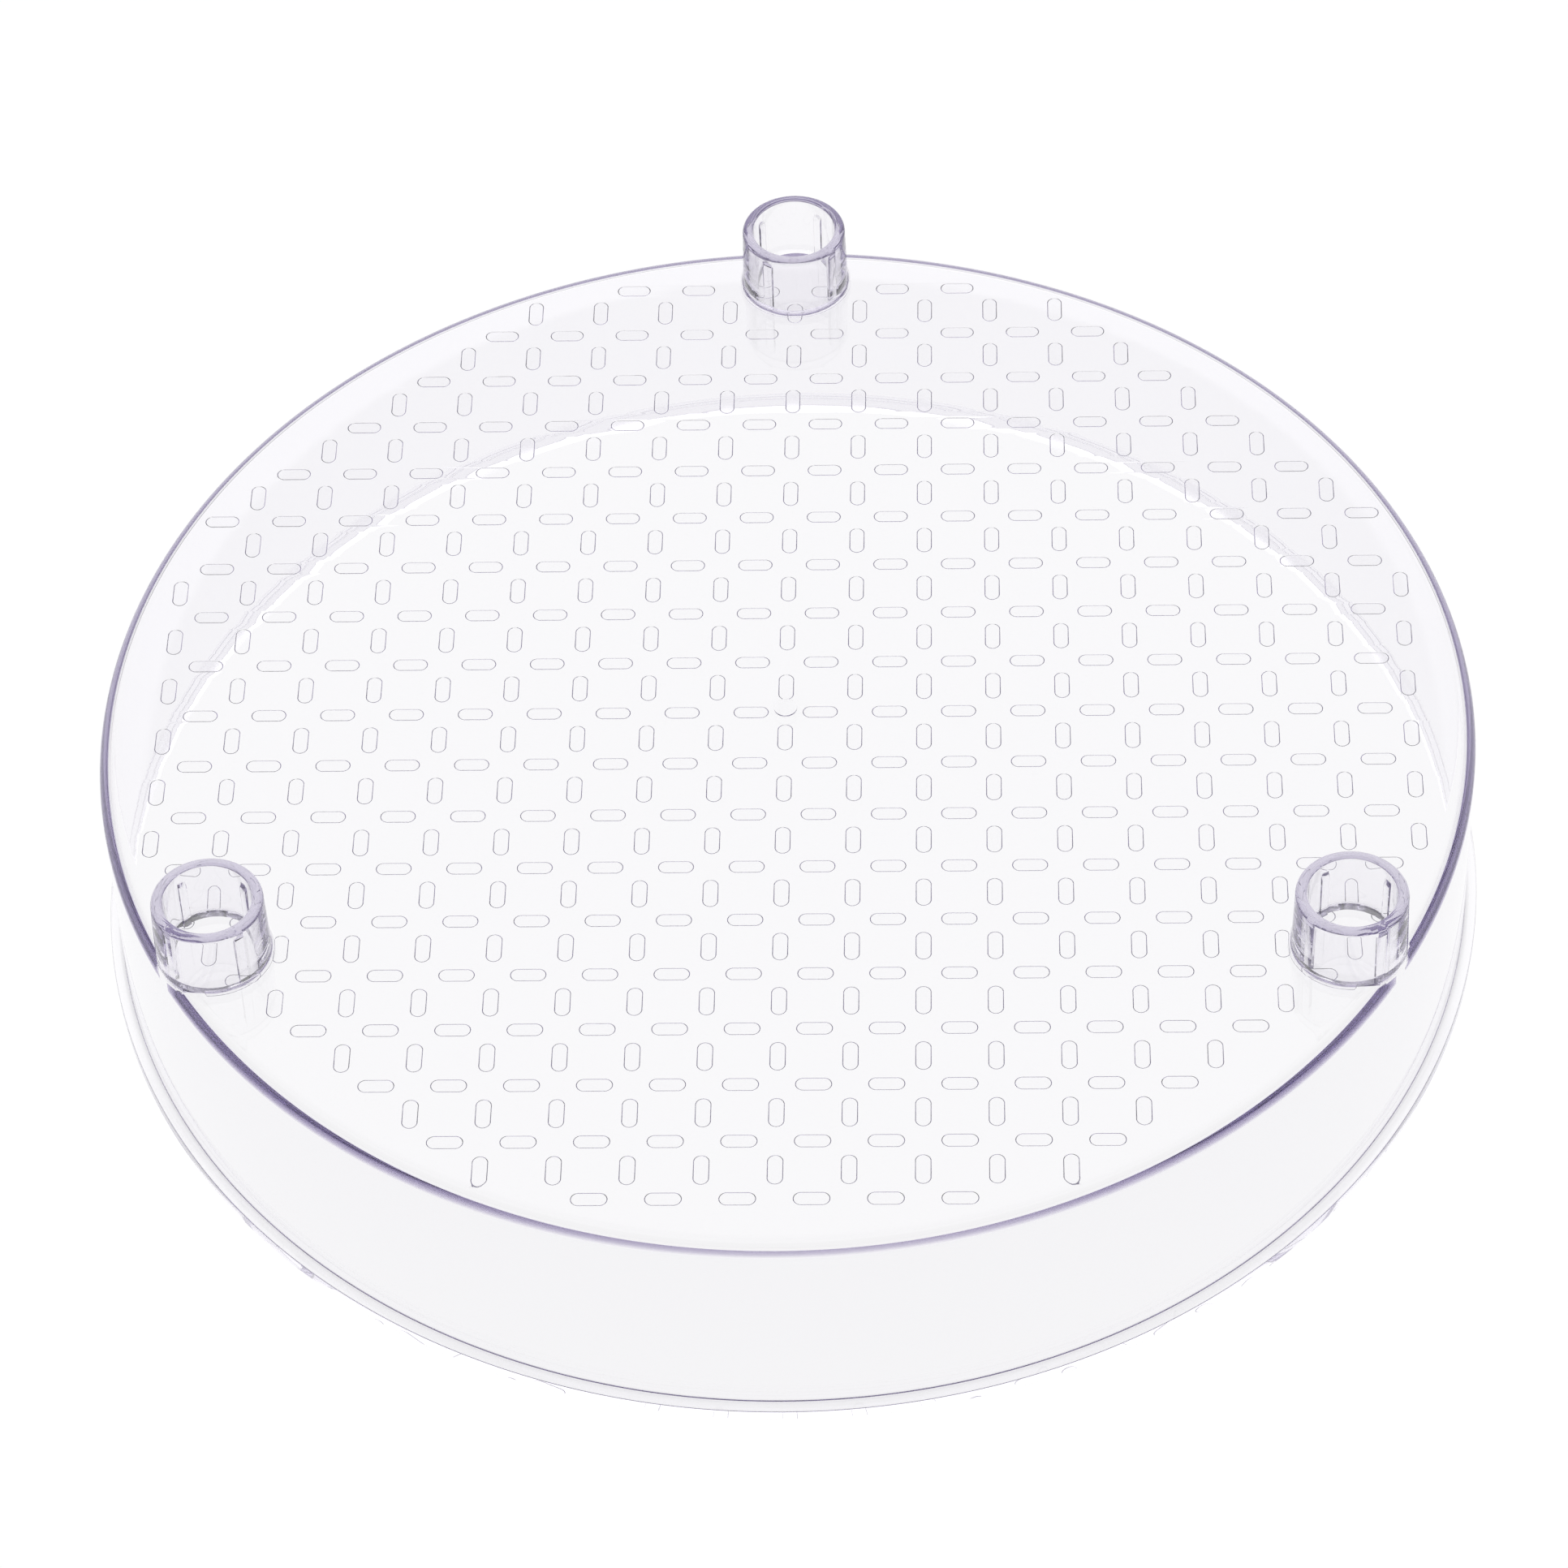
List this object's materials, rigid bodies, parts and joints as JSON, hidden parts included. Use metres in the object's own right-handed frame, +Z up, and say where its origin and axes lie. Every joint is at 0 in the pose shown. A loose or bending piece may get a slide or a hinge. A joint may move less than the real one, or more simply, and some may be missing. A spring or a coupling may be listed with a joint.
{
  "type": "food dehydrator stacking tray",
  "caption": "Clear round tray with a tall outward-lipped wall, a low-relief non-slip floor and blind post sockets standing on the floor's outer face.",
  "frame": {"origin": "centre of the lip's bottom face, on the surface that the tray stands on", "axes": "+Z up out of the socket mouths, +Y from the centre to the back socket, +X to the right"},
  "size_m": [0.3038, 0.3038, 0.0693],
  "materials": {
    "clear_tray": "clear polished moulded plastic with a faint violet tint",
    "clear_sockets": "clear polished moulded plastic with a faint violet tint"
  },
  "bodies": {
    "root": {"tray_shell": "clear_tray", "socket_back": "clear_sockets", "socket_front_left": "clear_sockets", "socket_front_right": "clear_sockets"}
  },
  "joints": []
}
